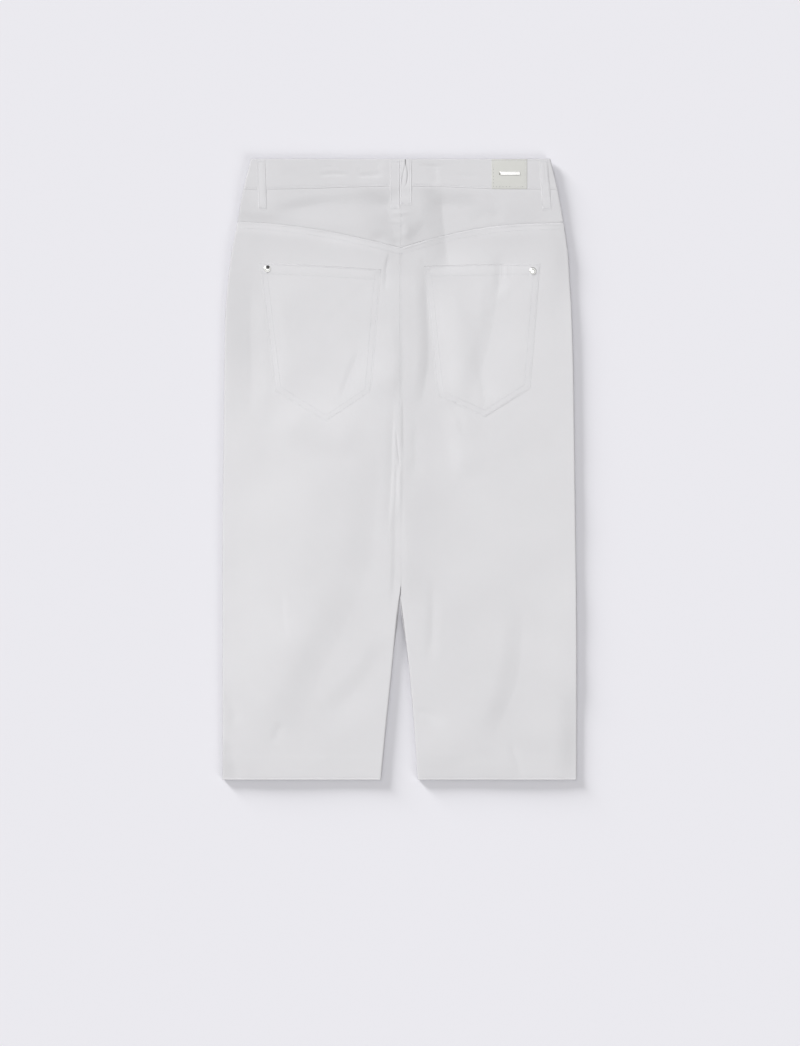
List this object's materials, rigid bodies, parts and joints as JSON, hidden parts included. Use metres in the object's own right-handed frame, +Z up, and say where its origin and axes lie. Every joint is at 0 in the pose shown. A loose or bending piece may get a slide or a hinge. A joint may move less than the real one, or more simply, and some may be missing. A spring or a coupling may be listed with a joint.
{
  "type": "capri trousers",
  "caption": "Cropped five-pocket trousers laid flat, back side up: V yoke, patch pockets, belt loops, leather waistband patch with a metal bar, straight legs.",
  "frame": {"origin": "on the surface that the trousers lie on, under the middle of their bounding box", "axes": "+Z up, out of the surface; +Y along the length, from the hems to the waist; +X to the right when the back of the trousers is seen from above with the waist at the top"},
  "size_m": [0.4493, 0.788, 0.0097],
  "materials": {
    "cloth": "white stretch cotton twill, matt with a faint satin sheen",
    "patch_leather": "off-white smooth leather, stitched round its edge",
    "polished_metal": "polished nickel",
    "zip_tape": "woven white tape"
  },
  "bodies": {
    "root": {"back_left": "cloth", "back_right": "cloth", "front_left": "cloth", "front_right": "cloth", "yoke_left": "cloth", "yoke_right": "cloth", "waistband_back": "cloth", "waistband_front_left": "cloth", "waistband_front_right": "cloth", "pocket_left": "cloth", "pocket_right": "cloth", "loop_side_left": "cloth", "loop_centre_left": "cloth", "loop_centre_right": "cloth", "loop_side_right": "cloth", "loop_front_left": "cloth", "loop_front_right": "cloth", "patch": "patch_leather", "patch_bar": "polished_metal", "rivet_left": "polished_metal", "rivet_right": "polished_metal", "button": "polished_metal", "zip": "zip_tape"}
  },
  "joints": []
}
